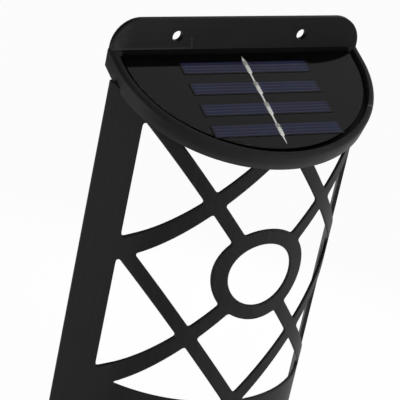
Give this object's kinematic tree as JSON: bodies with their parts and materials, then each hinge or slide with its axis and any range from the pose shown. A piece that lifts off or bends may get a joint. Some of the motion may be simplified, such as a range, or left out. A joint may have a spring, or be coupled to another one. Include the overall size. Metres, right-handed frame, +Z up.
{
  "type": "solar wall light",
  "caption": "Black solar wall light: a tilted half-round solar head with a wall flange over a half-round lattice shade with a ring, lit from a sealed pod with a slide switch.",
  "frame": {"origin": "on the wall plane, midway between the two screw holes of the flange", "axes": "+Z up, +Y into the wall, +X to the right seen from the front"},
  "size_m": [0.1204, 0.0572, 0.1725],
  "materials": {
    "black_plastic": "fine moulded grain, matt",
    "panel_black": "smooth black board",
    "cell_blue": "dark blue silicon with fine finger lines",
    "ribbon_silver": "tinned ribbon",
    "clear_resin": "clear glossy resin",
    "silicone": "soft matt",
    "gasket_rubber": "soft matt",
    "screw_steel": "zinc plated",
    "battery_wrap": "green shrink wrap",
    "contact_steel": "nickel plated",
    "board_green": "solder mask",
    "chip_black": "moulded epoxy",
    "ferrite": "ferrite grey",
    "led_phosphor": "phosphor in a white case",
    "clear_lens": "frosted clear",
    "switch_black": "matt",
    "wire_red": "soft insulation",
    "wire_black": "soft insulation"
  },
  "bodies": {
    "light": {"base_cover": "black_plastic", "battery": "battery_wrap", "battery_contact_negative": "contact_steel", "battery_contact_positive": "contact_steel", "board_screws": "screw_steel", "busbar_ribbon": "ribbon_silver", "circuit_board": "board_green", "cover_gasket": "gasket_rubber", "cover_screws": "screw_steel", "driver_chip": "chip_black", "inductor": "ferrite", "lattice_shade": "black_plastic", "led": "led_phosphor", "led_lens": "clear_lens", "panel_adhesive": "silicone", "panel_board": "panel_black", "panel_lead_black": "wire_black", "panel_lead_red": "wire_red", "panel_resin": "clear_resin", "solar_cell_1": "cell_blue", "solar_cell_2": "cell_blue", "solar_cell_3": "cell_blue", "solar_cell_4": "cell_blue", "solar_head": "black_plastic", "switch_body": "switch_black"},
    "slider": {"switch_slider": "switch_black"}
  },
  "joints": [
    {"name": "switch_slide", "type": "slide", "parent": "light", "child": "slider", "axis": [1, 0, 0], "range_m": [0, 0.0024]}
  ]
}
